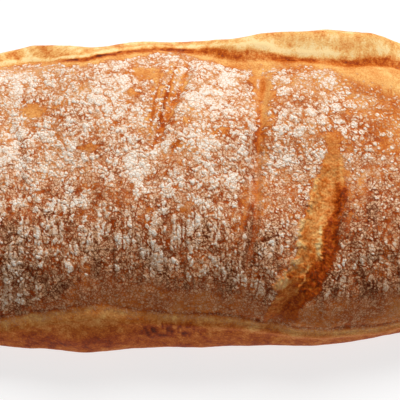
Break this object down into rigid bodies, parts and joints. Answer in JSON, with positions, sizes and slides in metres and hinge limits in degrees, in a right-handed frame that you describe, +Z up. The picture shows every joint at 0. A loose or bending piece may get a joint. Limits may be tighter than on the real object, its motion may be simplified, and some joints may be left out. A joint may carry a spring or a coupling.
{
  "type": "ciabatta loaf",
  "caption": "Ciabatta loaf with a floured, crackled top, bare rounded side bands below a crease, one long tear, cross folds and a flat base.",
  "frame": {"origin": "centre of the loaf's box on the flat base that it rests on", "axes": "+X along the loaf, +Y towards its fuller side, +Z up through the floured top"},
  "size_m": [0.2686, 0.1342, 0.0631],
  "materials": {
    "crust": "matte"
  },
  "bodies": {
    "root": {"ciabatta_loaf": "crust"}
  },
  "joints": []
}
